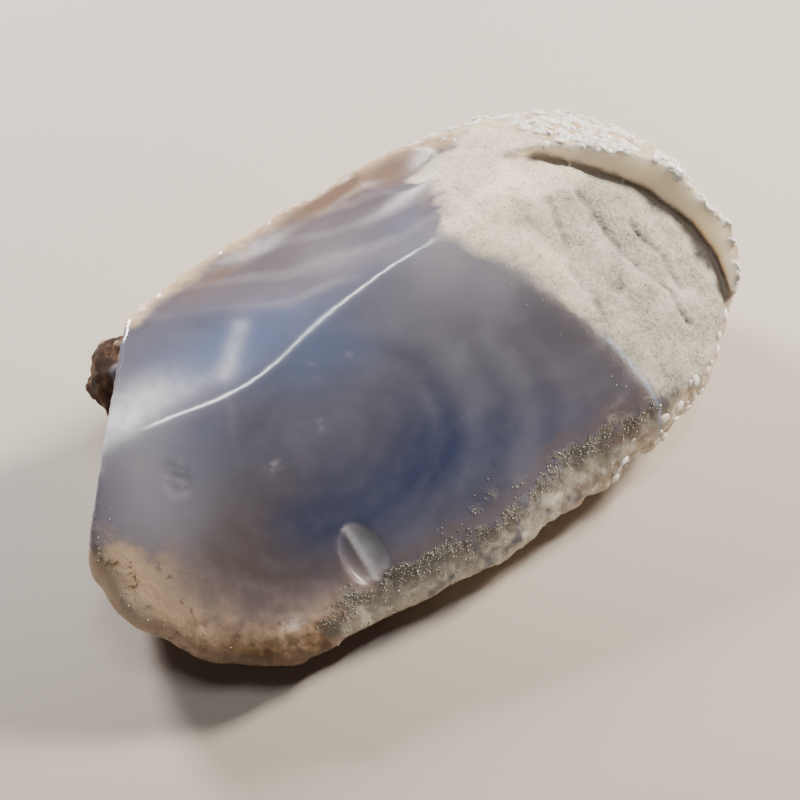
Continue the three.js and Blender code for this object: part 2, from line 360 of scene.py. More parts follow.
@dataclass(frozen=True)
class StoneShape:
    """The stone's solid as a signed distance: nodule and knobs, less every break, on its flat spot.

    Attributes:
        nodule: the unbroken nodule.
        glassy: the large clear face.
        chalky: the chalk-white shoulder to its right.
        hollow: the shallow hollow above the arris.
        scallop: the scalloped break behind the hollow.
        end: the steep face at the far left.
        ledge: the steep ledge of crystals along the lower edge.
        rind_nose: x of the rind's inner wall where it stands farthest out.
        rind_bend: how fast the wall curves back on both sides.
        rind_mid_y: y of that farthest place.
        rind_lean: how far the wall leans out for each millimetre of height.
        rind_level: height at which the wall is measured.
        seam_radius: radius of the open seam at the wall's foot.
        seam_mid_y: y of the seam's middle.
        seam_half: half its length along y.
        flake_at: middle of the spoon-shaped flake.
        flake_facing: heading and tilt that the flake faces.
        flake_radius: radius of the ball that leaves it.
        flake_depth: how deep the ball reaches.
        nick_at: middle of the crescent nick.
        nick_semi: half sizes of the ball that leaves it.
        nick_roll: how far that ball is rolled, in degrees.
        knobs: knobs on the skin, the dark lump of matrix first.
        arris: rounding of the edge between glass and chalk.
        upper_arris: rounding of the edge between the glass and the breaks above it.
        worn_rim: extra rounding of the skin's rim where it is worn.
        worn_at: middle of the worn rim.
        worn_reach: how far the wear reaches.
    """

    nodule: Nodule = Nodule()
    glassy: BrokenFace = BrokenFace(CORNER, 252.6, 34.5)
    chalky: BrokenFace = BrokenFace(
        (9.6, -5.6, 17.5), 277.0, 28.0, -64.0, 150.0, 75.0,
        (Dent(-1.5, 4.5, 6, 1.4, -0.35), Dent(1.5, 8.5, 7, 1.3, -0.3), Dent(-9, 5, 4, 4, 0.2)),
    )
    hollow: BrokenFace = BrokenFace(
        CORNER, 206.0, 10.8, 0.0, None, None,
        (Dent(-19.5, 4, 6.5, 9, -1.0), Dent(-5, 0, 3, 4, 0.15)),
    )
    scallop: BrokenFace = BrokenFace(
        (-8.0, 8.7, 20.26), 110.7, 11.9, -25.3, None, None, (Dent(0, 0, 9, 7, -1.25),)
    )
    end: BrokenFace = BrokenFace((-25.9, 5.3, 17.0), 139.0, 82.0, 49.0, -250.0)
    ledge: BrokenFace = BrokenFace(
        (-5.0, -14.2, 8.5), 262.5, 73.0, -5.0, 70.0, None,
        (
            Dent(24, 0, 9, 40, 3.0), Dent(-24, 0, 9, 40, 3.0), Dent(-9, 1, 2.2, 5, -0.4),
            Dent(2, 0, 2.6, 5, 0.3), Dent(9, 2, 2.0, 5, -0.4),
        ),
    )
    rind_nose: float = 27.7
    rind_bend: float = 0.078
    rind_mid_y: float = -7.9
    rind_lean: float = 0.35
    rind_level: float = 17.0
    seam_radius: float = 0.20
    seam_mid_y: float = -3.6
    seam_half: float = 8.6
    flake_at: Place = (8.1, 10.1, 21.3)
    flake_facing: tuple[float, float] = (115.0, 35.0)
    flake_radius: float = 6.0
    flake_depth: float = 0.9
    nick_at: Place = (-13.6, -10.9, 9.1)
    nick_semi: Place = (1.9, 2.6, 0.7)
    nick_roll: float = -18.0
    knobs: tuple[Knob, ...] = (
        Knob((-19.2, 15.0, 9.6), (3.4, 3.2, 3.6)),
        Knob((-14.6, 14.4, 6.6), (3.6, 2.4, 2.4)),
        Knob((-20.0, -11.4, 4.9), (3.2, 2.3, 1.9)),
        Knob((8.2, -13.3, 4.4), (2.4, 2.0, 1.6)),
        Knob((12.8, -13.2, 5.8), (2.4, 2.2, 1.7)),
        Knob((17.2, -12.3, 7.2), (2.8, 2.3, 2.1)),
        Knob((23.6, 8.2, 8.0), (3.6, 4.0, 3.6)),
    )
    arris: float = 0.13
    upper_arris: float = 0.6
    worn_rim: float = 2.4
    worn_at: Place = (-24.0, -9.5, 8.0)
    worn_reach: float = 11.0

    def rind_wall(self, p: Points) -> Values:
        """Distance from the rind's inner wall, positive on the broken side."""
        edge = self.rind_nose - self.rind_bend * (p[..., 1] - self.rind_mid_y) ** 2
        return 0.8 * (edge + self.rind_lean * (p[..., 2] - self.rind_level) - p[..., 0])

    def knob_outside(self, p: Points) -> Values:
        """Distance outwards from the nearest knob."""
        nearest = np.full(p.shape[:-1], 1e3)
        for knob in self.knobs:
            q = (p - np.array(knob.at)) / np.array(knob.semi)
            uneven = 1 + 0.1 * bumps(p, 3.6, 1.1) + 0.06 * bumps(p, 1.5, 0.6)
            reach = np.linalg.norm(q, axis=-1) / uneven
            nearest = np.minimum(nearest, (reach - 1) * min(knob.semi))
        return nearest

    def lump_outside(self, p: Points) -> Values:
        """Distance outwards from the dark lump of matrix on the end face."""
        q = (p - np.array(self.knobs[0].at)) / np.array(self.knobs[0].semi)
        return (np.linalg.norm(q, axis=-1) - 1.1) * min(self.knobs[0].semi)

    def flake_inside(self, p: Points) -> Values:
        """Distance inside the ball that leaves the spoon-shaped flake."""
        above = self.flake_radius - self.flake_depth
        centre = np.array(self.flake_at) + facing(*self.flake_facing) * above
        return self.flake_radius - np.linalg.norm(p - centre, axis=-1)

    def in_nick(self, p: Points) -> Points:
        """Place within the crescent nick's flattened ball, whose surface is at length one."""
        u, v, w = replace(self.glassy, at=self.nick_at).local(p)
        roll = math.radians(self.nick_roll)
        a = u * math.cos(roll) - w * math.sin(roll)
        b = u * math.sin(roll) + w * math.cos(roll)
        return np.stack([a, v, b], -1) / np.array(self.nick_semi)

    def nick_inside(self, p: Points) -> Values:
        """Distance inside the flattened ball that leaves the crescent nick."""
        return (1 - np.linalg.norm(self.in_nick(p), axis=-1)) * min(self.nick_semi)

    def terms(self, p: Points) -> tuple[Values, dict[Zone, Values]]:
        """The signed distance and what each surface gives to it.

        Args:
            p: points in millimetres.

        Returns:
            The joined distance, positive outside, and the distance of every zone.
        """
        knobs = self.knob_outside(p)
        skin = self.nodule.outside(p)
        glassy, chalky, wall = self.glassy.outside(p), self.chalky.outside(p), self.rind_wall(p)
        seam = self.seam_radius - np.hypot(wall, chalky)
        seam += 0.12 * bumps(p, 4.3, 0.2)
        seam -= 6 * ease(np.abs(p[..., 1] - self.seam_mid_y), self.seam_half, self.seam_half + 2.0)
        floor = join_outer(glassy, chalky, self.arris)
        broken = join_inner(floor, wall, 0.25)
        rim = 0.45 + self.worn_rim * hump(p, self.worn_at, self.worn_reach)
        hollow, scallop, end = self.hollow.outside(p), self.scallop.outside(p), self.end.outside(p)
        ledge, flake, nick = self.ledge.outside(p), self.flake_inside(p), self.nick_inside(p)
        total = join_outer(skin, broken, rim)
        total = join_outer(total, join_outer(hollow, scallop, 0.5), self.upper_arris)
        total = join_outer(join_outer(total, end, 0.12), ledge, 0.5)
        total = join_inner(total, knobs, 0.9)
        for cut, soft in ((flake, 0.25), (nick, 0.12), (seam, 0.2), (-p[..., 2], 0.3)):
            total = join_outer(total, cut, soft)
        on_floor = floor <= wall
        away = -50.0
        zones = {
            Zone.SKIN: skin,
            Zone.GLASSY: np.where(on_floor, glassy, away),
            Zone.CHALKY: np.where(on_floor, chalky, away),
            Zone.WALL: np.where(on_floor, away, wall),
            Zone.HOLLOW: hollow,
            Zone.SCALLOP: scallop,
            Zone.END: end,
            Zone.LEDGE: ledge,
            Zone.FLAKE: flake,
            Zone.NICK: nick,
            Zone.SEAM: seam,
            Zone.BASE: -p[..., 2],
        }
        return total, zones

    def distance(self, p: Points) -> Values:
        """The signed distance alone."""
        return self.terms(p)[0]

    def shares(self, p: Points, soft: float = 0.12) -> dict[Zone, Values]:
        """How much each zone owns of every surface point, adding up to one."""
        zones = self.terms(p)[1]
        stack = np.stack([zones[z] for z in Zone])
        weight = np.exp(np.clip((stack - stack.max(0)) / soft, -40, 0))
        weight /= weight.sum(0)
        return {zone: weight[zone.value] for zone in Zone}


# The stone's relief, its tints and its mesh.


# Strengths painted on the mesh, four to an attribute, read back by name in the stone's finish.
PAINTS = {
    "regions": ("glass", "chalk", "sugar", "wall"),
    "crust": ("skin", "seam", "rust", "cream"),
    "clouds": ("deep", "haze", "milk_and_sheen", "warm"),
    "veils": ("blue", "brown", "rim", "lump"),
    "depths": ("marks", "depth", "edge", "bright"),
    # Its crease channel is painted shade and its arris channel is a painted highlight.
    "dullness_bands_shade_highlight": ("creased", "rings", "grainy", "hairline"),
}


@dataclass(frozen=True)
class StoneRelief:
    """Low relief on each kind of surface, in millimetres outwards.

    Every `_grain`, `_swell` and `_cells` field is a pattern, and the `_height`, `_depth` or `_dome` beside
    it says how far that pattern stands out or sinks in.
    """

    chalk_grain: Grain = Grain(1.7, 3, 3)
    chalk_height: float = 0.11
    chalk_swell: Grain = Grain(4.2, 13, 2)
    swell_height: float = 0.20
    creases: tuple[Line, ...] = (
        (
            (14.8, 1.5, 20.2), (14.5, -0.5, 19.4), (12.8, -4.1, 17.8),
            (12.5, -6.7, 16.6), (12.7, -8.4, 15.8),
        ),
        (
            (18.0, 0.8, 19.4), (18.0, -1.1, 18.5), (17.9, -4.2, 16.9),
            (18.9, -6.5, 15.7), (20.0, -9.0, 14.3), (19.7, -11.6, 13.0),
        ),
        ((20.5, -3.0, 17.0), (21.4, -6.0, 15.4), (21.6, -9.0, 14.0)),
    )
    crease_depth: float = 0.34
    crease_width: float = 0.30
    hole_at: Place = (15.6, -6.9, 16.0)
    hole_reach: Place = (0.42, 0.34, 0.6)
    hole_depth: float = 0.5
    rough_grain: Grain = Grain(1.3, 11, 3)
    wall_height: float = 0.09
    end_height: float = 0.08
    crust_height: float = 0.26
    rind_cells: Cells = Cells(1.9, 5)
    rind_height: float = 0.34
    crust_cells: Cells = Cells(2.6, 8)
    crust_dome: float = 0.42
    sugar_cells: Cells = Cells(0.70, 21)
    sugar_height: float = 0.14
    jag_grain: Grain = Grain(2.1, 31, 3)
    jag_height: float = 0.38
    ripple_from: Place = (16.0, 52.0, 19.0)
    ripple_spacing: float = 2.3
    ripple_height: float = 0.012
    chip_at: Place = (-22.9, 0.3, 14.4)
    chip_reach: Place = (1.2, 1.8, 1.6)
    chip_height: float = 0.07
    glass_swell: Grain = Grain(9.0, 41, 1)
    glass_height: float = 0.06
    pit_grain: Grain = Grain(1.2, 51, 2)
    pit_depth: float = 0.5
    pitted: tuple[tuple[Place, Place], ...] = (
        ((-28.0, -6.8, 7.6), (2.6, 2.2, 2.0)),
        ((-26.0, -9.0, 6.6), (2.4, 2.0, 1.8)),
    )

    def height(self, p: Points, share: dict[Zone, Values]) -> Values:
        """Relief at every point.

        Args:
            p: points in millimetres.
            share: how much each zone owns of them.

        Returns:
            Height outwards in millimetres.
        """
        x = p[..., 0]
        rough = self.rough_grain.at(p)
        near, second, own = self.rind_cells.at(p)
        cobbles = np.sqrt(np.clip(second - near, 0, 1)) * (0.75 + 0.25 * own)
        near, second, _ = self.crust_cells.at(p)
        domes = np.clip(second - near, 0, 1)
        near, second, own = self.sugar_cells.at(p)
        tips = np.clip(0.8 - near, 0, 1) * (0.7 + 0.5 * own)
        kept = ease(x, 9.0, 17.0)
        smooth = ease(0.9 * (11.0 - p[..., 2]) - x, 10.0, 18.0) * ease(6.0 - p[..., 1], 0.0, 6.0)
        crust = (self.crust_height * rough + self.crust_dome * domes * (1 - kept)) * (1 - 0.8 * smooth)
        crust += self.rind_height * cobbles * kept
        worn = sum(hump(p, at, reach) for at, reach in self.pitted)
        pits = self.pit_depth * ease(self.pit_grain.at(p), 0.42, 0.75) * worn
        away = np.linalg.norm(p - np.array(self.ripple_from), axis=-1)
        wander = 0.6 * self.glass_swell.at(p * 1.7)
        ripples = self.ripple_height * np.sin(2 * math.pi * (away + wander) / self.ripple_spacing)
        chalk = self.chalk_height * self.chalk_grain.at(p) + self.swell_height * self.chalk_swell.at(p)
        chalk -= self.crease_depth * self.creased(p)
        chalk -= self.hole_depth * hump(p, self.hole_at, self.hole_reach)
        glass = self.glass_height * self.glass_swell.at(p)
        rough_break = share[Zone.WALL] + share[Zone.SEAM]
        return (
            share[Zone.SKIN] * crust
            + share[Zone.CHALKY] * chalk
            + rough_break * self.wall_height * rough
            + share[Zone.LEDGE] * (self.sugar_height * tips + 0.5 * self.wall_height * rough)
            + share[Zone.SCALLOP] * ripples
            - share[Zone.GLASSY] * self.chip(p)
            + (share[Zone.GLASSY] + share[Zone.HOLLOW]) * glass
            - (share[Zone.GLASSY] + share[Zone.SKIN]) * pits
            + share[Zone.END] * self.end_height * rough
        )

    def creased(self, p: Points) -> Values:
        """How near a point is to the creases that run down the chalk."""
        wander = 0.5 * np.stack([self.rough_grain.at(p * 0.5 + k) for k in (0.0, 9.0, 18.0)], -1)
        near = [near_line(p + wander, line, self.crease_width) for line in self.creases]
        return np.maximum.reduce(near)

    def chip(self, p: Points) -> Values:
        """Depth of the small wavy chip high on the glassy face."""
        away = np.linalg.norm((p - np.array(self.chip_at)) / np.array(self.chip_reach), axis=-1)
        away = away + 0.25 * bumps(p, 1.9, 0.3)
        return self.chip_height * ease(-away, -1.0, -0.55) * (1 + 0.5 * np.cos(16 * away))

    def jag(self, p: Points) -> Values:
        """How far the crystal ledge's upper edge wanders."""
        return self.jag_height * self.jag_grain.at(p)


@dataclass(frozen=True)
class StoneClouds:
    """Where the glass is deep, blue, hazy, milky or warm, and where the skin is rusty, creamy or brown.

    Every cloud is a few soft spots, each with its centre, half sizes in millimetres and strength. The milky
    cloud is partly the glass's own milkiness and partly painted reflections of the lights.

    Attributes:
        wander: slow grain that bends every cloud.
        ragged: grain that frays the edges of stains.
        streaks: grain that breaks up tufts and marks.
        eye: centre of the bands around the blue heart.
        ring_first: distance from it to the first dark band.
        ring_step: distance from each band to the next.
        vein: faint pale line down the glass, with its strength and half width.
        plume: milky streak above the arris, with the same.
        corner_light: bleached chalk beside the corner and the arris.
    """

    wander: Grain = Grain(9.0, 61, 3)
    ragged: Grain = Grain(2.2, 62, 3)
    streaks: Grain = Grain(2.6, 63, 3)
    deep: tuple[Spot, ...] = (
        ((-4.0, -8.4, 12.8), (4.6, 4.4, 4.6), 1.0),
        ((-10.0, -9.0, 11.0), (6.0, 3.6, 3.6), 0.75),
        ((-15.0, -6.5, 11.6), (4.0, 3.2, 3.2), 0.6),
        ((2.5, -12.0, 11.4), (4.6, 3.0, 3.2), 0.55),
    )
    blue: tuple[Spot, ...] = (
        ((-14.5, 6.4, 18.2), (7.5, 3.0, 4.0), 1.0),
        ((-8.0, 1.5, 18.4), (5.5, 3.4, 3.6), 0.85),
        ((2.0, 5.2, 21.3), (5.5, 2.4, 2.6), 0.65),
        ((-21.0, 1.6, 15.6), (4.4, 2.4, 3.0), 0.5),
    )
    haze: tuple[Spot, ...] = (
        ((3.0, 0.9, 20.4), (4.6, 3.0, 3.0), 1.0),
        ((6.6, -2.6, 18.4), (2.6, 3.2, 2.6), 0.55),
        ((0.8, -4.2, 17.0), (1.2, 3.2, 2.6), 0.35),
        ((-24.5, 2.2, 15.4), (4.0, 2.4, 3.4), 0.9),
        ((-18.5, 3.0, 17.2), (3.4, 1.6, 2.4), 0.35),
        ((-26.0, -1.0, 12.8), (4.2, 3.2, 3.2), 0.75),
    )
    # Milky spots: some are milky glass, and some are painted reflections and highlights on the hollow and
    # the scallop.
    milk_and_sheen: tuple[Spot, ...] = (
        ((-24.2, 5.8, 17.2), (3.0, 2.4, 4.0), 1.0),
        ((-20.4, 6.2, 17.6), (2.6, 1.6, 3.0), 0.40),
        ((-17.6, 5.0, 18.0), (3.0, 0.8, 2.4), 0.20),
        ((-7.2, 13.3, 18.5), (2.6, 0.8, 3.0), 0.7),
        ((-4.8, 12.6, 19.0), (2.6, 0.5, 2.0), 0.5),
        ((5.4, 8.2, 21.2), (3.2, 0.6, 2.0), 0.9),
        ((3.6, 12.3, 20.0), (2.8, 0.35, 1.6), 0.9),
    )
    brown: tuple[Spot, ...] = (
        ((7.4, 12.4, 19.6), (3.4, 1.9, 2.4), 1.0),
        ((1.0, 13.4, 19.4), (4.6, 1.2, 2.0), 0.9),
        ((-10.4, 12.6, 18.2), (2.4, 0.7, 2.0), 0.5),
        ((9.8, -15.2, 9.6), (1.8, 1.2, 0.9), 0.9),
        ((5.2, -15.6, 6.2), (1.5, 1.2, 0.8), 0.8),
        ((-17.4, -12.6, 6.9), (0.35, 1.0, 1.6), 0.8),
    )
    tufts: tuple[Spot, ...] = (
        ((-2.9, -13.3, 9.2), (1.7, 0.9, 1.2), 1.0),
        ((0.2, -13.8, 9.4), (1.0, 0.6, 0.9), 0.8),
        ((-7.8, -12.8, 8.4), (1.6, 0.6, 0.8), 0.7),
        ((-14.8, -12.2, 7.9), (1.4, 0.6, 0.7), 0.7),
    )
    eye: Place = (-6.6, -4.6, 15.0)
    ring_first: float = 4.5
    ring_step: float = 3.9
    corner_light: tuple[Spot, ...] = (
        ((7.6, 3.0, 21.6), (4.0, 3.6, 3.0), 1.0),
        ((11.0, -3.0, 18.6), (3.0, 4.0, 3.0), 0.6),
    )
    vein_strength: float = 0.05
    vein_width: float = 0.3
    vein: Line = (
        (-15.4, 4.4, 18.4), (-16.1, 3.1, 17.6), (-17.7, 0.2, 15.5),
        (-19.3, -3.2, 12.9), (-20.2, -6.4, 10.5), (-20.6, -9.1, 8.6),
    )
    plume_strength: float = 0.38
    plume_width: float = 0.75
    plume: Line = ((-15.4, 4.4, 17.7), (-13.6, 6.0, 18.1), (-12.2, 7.1, 18.5))
    marks: tuple[Spot, ...] = (
        ((-16.1, -2.6, 13.9), (0.55, 0.4, 0.5), 0.9),
        ((-22.0, 1.2, 15.2), (0.6, 0.3, 0.5), 0.7),
        ((-11.6, -2.4, 15.1), (0.4, 0.5, 0.5), 0.7),
        ((-22.9, -0.4, 14.0), (1.0, 0.35, 0.6), 0.6),
        ((9.9, -13.4, 12.0), (0.9, 0.3, 0.4), 0.7),
        ((-6.8, 0.2, 17.6), (0.25, 0.3, 0.3), 0.6),
        ((-9.6, 1.2, 17.8), (0.22, 0.3, 0.3), 0.6),
        ((4.8, -6.6, 16.0), (0.3, 0.25, 0.3), 0.6),
    )

    def cloud(self, p: Points, spots: tuple[Spot, ...]) -> Values:
        """Strength of one cloud at every point."""
        total = np.zeros(p.shape[:-1])
        for centre, half, strength in spots:
            away = ((p - np.array(centre)) / np.array(half)) ** 2
            total = np.maximum(total, 0.6 * total) + strength * np.exp(-away.sum(-1))
        return np.clip(total, 0, 1)

    def tints(self, p: Points, outside: Values) -> dict[str, Values]:
        """Every tint's strength, from 0 to 1.

        Args:
            p: points in millimetres.
            outside: their distance out of the nodule's own skin, below zero inside.

        Returns:
            The strengths by name.
        """
        x, y, z = p[..., 0], p[..., 1], p[..., 2]
        drift = np.stack([self.wander.at(p), self.wander.at(p + 40.0), self.wander.at(p - 40.0)], -1)
        q = p + 1.6 * drift
        ragged = self.ragged.at(p)
        milk_and_sheen = self.cloud(p + 0.35 * drift, self.milk_and_sheen)
        milk_and_sheen += self.vein_strength * near_line(p + 0.4 * drift, self.vein, self.vein_width)
        milk_and_sheen += self.plume_strength * near_line(p + 0.3 * drift, self.plume, self.plume_width)
        smoky_left = ease(-x, 9.0, 20.0) * ease(-z - 0.25 * y, -14.6, -9.6)
        return {
            "deep": self.cloud(q, self.deep),
            "blue": self.cloud(q, self.blue),
            "haze": self.cloud(q, self.haze),
            "milk_and_sheen": milk_and_sheen,
            "warm": np.maximum(smoky_left, 0.30 * ease(x, 4.0, 10.0)),
            "rings": self.rings(q, x),
            "tufts": self.cloud(p, self.tufts) * ease(self.streaks.at(p * 1.6), -0.1, 0.35),
            "rust": self.rust(p, outside, ragged),
            "rim": ease(outside + 0.7 * ragged, -1.9, -0.5) * ease(y, 4.0, 9.0),
            "brown": self.cloud(p + 0.3 * drift, self.brown),
            "marks": self.cloud(p, self.marks) * ease(self.streaks.at(p * 3.0), -0.15, 0.25),
            "spill": self.spill(p, ragged),
            "bright": sum(strength * hump(p, at, reach) for at, reach, strength in self.corner_light),
            "cream": ease(y - 0.35 * (z - 18) + 0.8 * ragged, 9.0, 13.0) * ease(-x, -20.0, -8.0),
        }

    def rings(self, q: Points, x: Values) -> Values:
        """Pale bands around the blue heart, only on its right."""
        away = np.linalg.norm((q - np.array(self.eye)) * np.array((1.0, 0.8, 0.8)), axis=-1)
        bands = 0.5 - 0.5 * np.cos(2 * math.pi * (away - self.ring_first) / self.ring_step)
        on_right = ease(x, self.eye[0] - 1.0, self.eye[0] + 3.5)
        return bands * on_right * ease(away, 2.0, 3.5) * (1 - ease(away, 12.0, 15.0))

    def rust(self, p: Points, outside: Values, ragged: Values) -> Values:
        """Brown stain that fades inwards from the skin at the low left end."""
        x, y, z = p[..., 0], p[..., 1], p[..., 2]
        near_skin = ease(outside + 0.6 * ragged, -9.0, -0.8)
        low_left = ease(-x + 0.9 * (11.0 - z), 12.0, 22.0) * ease(9.0 - y, 5.0, 9.0)
        return near_skin * low_left * ease(14.2 - z + 0.8 * ragged, 0.2, 3.2)

    def spill(self, p: Points, ragged: Values) -> Values:
        """Chalk that reaches over the corner onto the breaks behind it."""
        x, y, z = p[..., 0], p[..., 1], p[..., 2]
        past_corner = ease(x - 5.0 - 0.75 * np.clip(y - 3.5, 0, 3.1) + 0.9 * ragged, -0.6, 0.8)
        before_skin = ease(10.9 + 0.5 * np.maximum(x - 12.0, 0) - y + 0.8 * ragged, -0.6, 0.8)
        return past_corner * before_skin * ease(z, 16.0, 19.0) * ease(y, 1.0, 3.0)


@dataclass
class Stone:
    """The stone's visible piece.

    Attributes:
        shape: the solid's signed distance.
        relief: low relief added to it.
        clouds: tints painted on it.
        cell: spacing of the mesh in millimetres.
        low: lowest corner of the box that the mesh is looked for in.
        high: highest corner of it.
        band: how far from the solid the relief is worked out.
        settling: how many times the corners are moved onto the surface.
        longest_step: the farthest that a corner moves each time, in millimetres.
        shift: how far the mesh is moved, in millimetres, to stand in the CAD solid's box.
    """

    shape: StoneShape = field(default_factory=StoneShape)
    relief: StoneRelief = field(default_factory=StoneRelief)
    clouds: StoneClouds = field(default_factory=StoneClouds)
    cell: float = 0.29
    low: Place = (-34.0, -20.0, -1.2)
    high: Place = (33.0, 21.0, 25.5)
    band: float = 1.3
    settling: int = 3
    longest_step: float = 0.12
    shift: Points = field(default_factory=lambda: np.zeros(3))

    def surface(self, p: Points) -> Values:
        """Signed distance with the relief taken in."""
        share = self.shape.shares(p, 0.2)
        jagged = self.shape.ledge.outside(p) + self.relief.jag(p)
        total = join_outer(self.shape.distance(p), jagged, 0.2)
        total = total - self.relief.height(p, share)
        return np.maximum(total, -p[..., 2])

    def slope(self, p: Points) -> Points:
        """Outward slope of the surface, from four nearby values."""
        reach = 0.04
        corners = np.array([[1, 1, 1], [1, -1, -1], [-1, 1, -1], [-1, -1, 1]], float)
        total = sum(self.surface(p + reach * c)[..., None] * c for c in corners)
        return total / (4 * reach)

    def lattice(self) -> Values:
        """Signed distance at the regular points that the surface is looked for between."""
        spans = [np.arange(a, b, self.cell) for a, b in zip(self.low, self.high)]
        grid = np.stack(np.meshgrid(*spans, indexing="ij"), -1)
        value = self.shape.distance(grid)
        close = np.abs(value) < self.band
        value[close] = self.surface(grid[close])
        return value

    def skin(self) -> tuple[Points, np.ndarray]:
        """Corners and four-sided faces of the surface, in the shape's own millimetres."""
        volume = openvdb.FloatGrid(FAR_OUTSIDE)
        volume.copyFromArray(self.lattice().astype(np.float32))
        corners, faces = volume.convertToQuads(isovalue=0.0)
        p = corners.astype(float) * self.cell + np.array(self.low)
        for _ in range(self.settling):
            slope = self.slope(p)
            steepness = np.maximum((slope**2).sum(-1, keepdims=True), 0.2)
            step = self.surface(p)[..., None] * slope / steepness
            p = p - np.clip(step, -self.longest_step, self.longest_step)
        p[..., 2] = np.maximum(p[..., 2], 0.0)
        return p, faces

    def build(self) -> bpy.types.Object:
        """Makes the stone's mesh, placed in the CAD solid's box, with its painted attributes.

        Returns:
            The stone's object.
        """
        p, faces = self.skin()
        low, high = (np.array(c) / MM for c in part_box(NODE))
        self.shift = 0.5 * (low + high) - 0.5 * (p.min(0) + p.max(0))
        self.shift[2] = low[2]
        mesh = bpy.data.meshes.new("stone")
        mesh.from_pydata(((p + self.shift) * MM).tolist(), [], faces.tolist())
        mesh.validate()
        mesh.shade_smooth()
        self.dress(mesh, p)
        return add_object("chalcedony_stone", mesh)

    def dress(self, mesh: bpy.types.Mesh, p: Points) -> None:
        """Paints every strength that the finish and the growths read.

        Args:
            mesh: the stone's mesh.
            p: its corners, in the shape's own millimetres.
        """
        share = self.shape.shares(p, 0.15)
        outside = self.shape.nodule.outside(p)
        tint = self.clouds.tints(p, outside)
        self.touch_up(tint, share, p)
        sugar = self.sugary(share, tint["tufts"], p)
        frosted = self.frosted(share, p)
        upper = share[Zone.HOLLOW] + share[Zone.SCALLOP] + share[Zone.FLAKE]
        chalk = share[Zone.CHALKY] + upper * tint["spill"] + frosted
        glass = share[Zone.GLASSY] + upper * (1 - tint["spill"]) + share[Zone.NICK]
        glass = (glass + 0.8 * share[Zone.END]) * (1 - sugar) * (1 - 0.6 * tint["rust"]) * (1 - frosted)
        grainy, hairline = self.dull_and_arris_highlight(share, p)
        strength = tint | {
            "glass": glass,
            "chalk": chalk,
            "sugar": sugar,
            "wall": share[Zone.WALL],
            "skin": share[Zone.SKIN] + share[Zone.BASE],
            "seam": share[Zone.SEAM],
            "lump": ease(-self.shape.lump_outside(p), -0.25, 0.1),
            "depth": np.clip(-outside / 20.0, 0, 1),
            "edge": ease(self.shape.glassy.outside(p), -2.6, -0.6),
            "bright": np.maximum(tint["spill"], tint["bright"]),
            # Painted shade along the chalk's creases, on top of their carved relief.
            "creased": self.relief.creased(p),
            "grainy": grainy,
            "hairline": hairline,
        }
        for name, channels in PAINTS.items():
            packed = np.stack([strength[channel] for channel in channels], -1)
            layer = mesh.attributes.new(name, "FLOAT_COLOR", "POINT")
            layer.data.foreach_set("color", np.clip(packed, 0, 1).astype(np.float32).ravel())
        self.mark_scatter(mesh, share, sugar, chalk, p)

    def touch_up(self, tint: dict[str, Values], share: dict[Zone, Values], p: Points) -> None:
        """Adds the tints that belong to one break alone.

        Args:
            tint: every tint's strength, changed in place.
            share: how much each zone owns of the points.
            p: points in millimetres.
        """
        x = p[..., 0]
        jagged = self.shape.ledge.outside(p) + self.relief.jag(p)
        fringe = np.exp(-(((jagged + 0.55) / 0.40) ** 2)) * share[Zone.GLASSY]
        tint["brown"] += 0.35 * fringe * ease(x, -17.0, -13.0) + 0.30 * share[Zone.SCALLOP]
        across = self.shape.in_nick(p)[..., 0]
        nick = ease(share[Zone.NICK], 0.45, 0.85)
        half_moon = nick * ease(across, -0.45, -0.25) * (1 - 0.7 * ease(across, 0.1, 0.95))
        # Painted highlight: a narrow pale line along the nick's steep edge.
        half_moon += 0.6 * nick * np.exp(-(((across + 0.25) / 0.14) ** 2))
        # Painted shade: the nick's steep side darkened with the warm tint.
        tint["warm"] = tint["warm"] + share[Zone.NICK] * (1 - ease(across, -0.45, -0.2))
        away = np.linalg.norm(p - np.array(self.relief.ripple_from), axis=-1)
        arcs = ease(np.sin(2.1 * away + 2.0 * self.clouds.wander.at(p)), 0.1, 1.0)
        tint["milk_and_sheen"] *= 1 - 0.7 * share[Zone.GLASSY] * ease(-x, 17.0, 19.0)
        tint["milk_and_sheen"] += 0.55 * half_moon + 0.13 * share[Zone.SCALLOP] * arcs

    def sugary(self, share: dict[Zone, Values], tufts: Values, p: Points) -> Values:
        """How far crystals have taken over: the ledge, its ragged edge and the tufts above it.

        Args:
            share: how much each zone owns of the points.
            tufts: strength of the tufts on the glassy face.
            p: points in millimetres.

        Returns:
            The crystals' share of every point.
        """
        jagged = self.shape.ledge.outside(p) + self.relief.jag(p)
        tufted = jagged + 0.30 * self.clouds.ragged.at(p * np.array((3.2, 3.2, 1.4)))
        sugar = ease(tufted, -0.40, -0.05) * (1 - share[Zone.CHALKY] - share[Zone.WALL])
        sugar = sugar * ease(p[..., 2], 1.5, 4.0)
        sugar = sugar * ease(p[..., 0] + 0.8 * self.clouds.ragged.at(p), -19.5, -16.5)
        return np.maximum(sugar, 0.75 * tufts * share[Zone.GLASSY])

    def frosted(self, share: dict[Zone, Values], p: Points) -> Values:
        """How far chalk creeps over the arris onto the glassy face, most beside the corner."""
        reach = 0.10 + 0.40 * hump(p, (6.4, 2.0, 21.6), (4.0, 4.0, 4.0))
        near_arris = self.shape.chalky.outside(p) + 0.06 * self.clouds.ragged.at(p)
        return share[Zone.GLASSY] * ease(near_arris / reach, -1.0, 0.2) * ease(p[..., 0], 3.0, 5.0)

